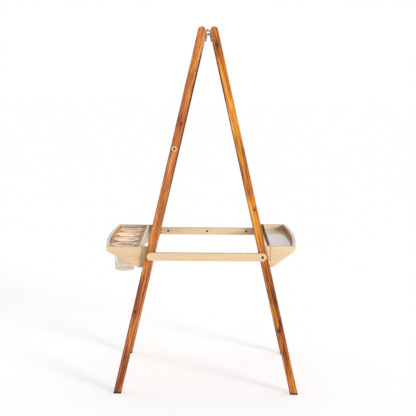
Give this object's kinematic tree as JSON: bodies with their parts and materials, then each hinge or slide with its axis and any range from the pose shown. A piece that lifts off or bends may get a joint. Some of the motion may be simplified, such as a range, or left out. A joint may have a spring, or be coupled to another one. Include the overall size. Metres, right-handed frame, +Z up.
{
  "type": "artist easel",
  "caption": "Wooden double-sided easel: two hinged board frames on round-topped legs, swinging stretcher bars, a bowed chalk tray and a tray of lift-out clear paint cups.",
  "frame": {"origin": "on the floor, at the centre of the easel's overall box", "axes": "+Z up; +Y along the hinge and the boards' width, from the front end to the rear end; the paint frame stands on the -X side and the chalk frame on the +X side"},
  "size_m": [0.643, 0.651, 1.195],
  "materials": {
    "acacia": "satin oiled, warm orange-brown",
    "pale_wood": "satin clear lacquer",
    "whiteboard": "gloss white face, brown hardboard back",
    "chalkboard": "matt dark face, brown hardboard back",
    "tray_laminate": "gloss off-white laminate",
    "clear_plastic": "clear, polished",
    "steel": "zinc plated",
    "dark_steel": "dark bronze",
    "foot_rubber": "matt"
  },
  "bodies": {
    "chalk_frame": {"chalk_leg_front": "acacia", "chalk_foot_pad_front": "foot_rubber", "chalk_hinge_leaf_front": "steel", "chalk_hinge_screw_front_1": "dark_steel", "chalk_hinge_screw_front_2": "dark_steel", "chalk_bracket_front": "pale_wood", "chalk_tray_end_front": "pale_wood", "chalk_tray_screw_front": "dark_steel", "chalk_leg_rear": "acacia", "chalk_foot_pad_rear": "foot_rubber", "chalk_hinge_leaf_rear": "steel", "chalk_hinge_screw_rear_1": "dark_steel", "chalk_hinge_screw_rear_2": "dark_steel", "chalk_bracket_rear": "pale_wood", "chalk_tray_end_rear": "pale_wood", "chalk_tray_screw_rear": "dark_steel", "chalk_top_rail": "acacia", "chalk_lower_rail": "acacia", "chalk_tray_back": "pale_wood", "chalk_tray_front": "pale_wood", "chalk_board": "chalkboard", "chalk_tray_floor": "tray_laminate", "hinge_pin_front": "steel", "hinge_pin_rear": "steel", "pivot_bolt_front": "dark_steel", "pivot_bolt_rear": "dark_steel"},
    "paint_frame": {"paint_leg_front": "acacia", "paint_foot_pad_front": "foot_rubber", "paint_hinge_leaf_front": "steel", "paint_hinge_screw_front_1": "dark_steel", "paint_hinge_screw_front_2": "dark_steel", "paint_bracket_front": "pale_wood", "paint_tray_end_front": "pale_wood", "paint_tray_screw_front": "dark_steel", "paint_leg_rear": "acacia", "paint_foot_pad_rear": "foot_rubber", "paint_hinge_leaf_rear": "steel", "paint_hinge_screw_rear_1": "dark_steel", "paint_hinge_screw_rear_2": "dark_steel", "paint_bracket_rear": "pale_wood", "paint_tray_end_rear": "pale_wood", "paint_tray_screw_rear": "dark_steel", "paint_top_rail": "acacia", "paint_lower_rail": "acacia", "paint_tray_back": "pale_wood", "paint_tray_front": "pale_wood", "paint_board": "whiteboard", "paint_cup_plate": "pale_wood", "catch_peg_front": "steel", "side_knob_front": "pale_wood", "side_knob_screw_front": "dark_steel", "catch_peg_rear": "steel", "side_knob_rear": "pale_wood", "side_knob_screw_rear": "dark_steel"},
    "bar_front": {"stretcher_bar_front": "pale_wood"},
    "bar_rear": {"stretcher_bar_rear": "pale_wood"},
    "cup_1": {"paint_cup_1": "clear_plastic"},
    "cup_2": {"paint_cup_2": "clear_plastic"},
    "cup_3": {"paint_cup_3": "clear_plastic"},
    "cup_4": {"paint_cup_4": "clear_plastic"}
  },
  "joints": [
    {"name": "frame_fold", "type": "hinge", "parent": "chalk_frame", "child": "paint_frame", "pos_m": [0.01864, 0, 1.183], "axis": [0, -1, 0], "range_deg": [0, 22]},
    {"name": "bar_front_swing", "type": "hinge", "parent": "chalk_frame", "child": "bar_front", "pos_m": [0.19934, 0, 0.457], "axis": [0, 1, 0], "range_deg": [0, 61.6]},
    {"name": "bar_rear_swing", "type": "hinge", "parent": "chalk_frame", "child": "bar_rear", "pos_m": [0.19934, 0, 0.457], "axis": [0, 1, 0], "range_deg": [0, 61.6]},
    {"name": "cup_1_lift", "type": "slide", "parent": "paint_frame", "child": "cup_1", "axis": [0, 0, 1], "range_m": [0, 0.1]},
    {"name": "cup_2_lift", "type": "slide", "parent": "paint_frame", "child": "cup_2", "axis": [0, 0, 1], "range_m": [0, 0.1]},
    {"name": "cup_3_lift", "type": "slide", "parent": "paint_frame", "child": "cup_3", "axis": [0, 0, 1], "range_m": [0, 0.1]},
    {"name": "cup_4_lift", "type": "slide", "parent": "paint_frame", "child": "cup_4", "axis": [0, 0, 1], "range_m": [0, 0.1]}
  ],
  "couplings": [
    {"joint": "bar_front_swing", "follows": "frame_fold", "ratio": 2.8},
    {"joint": "bar_rear_swing", "follows": "frame_fold", "ratio": 2.8}
  ]
}
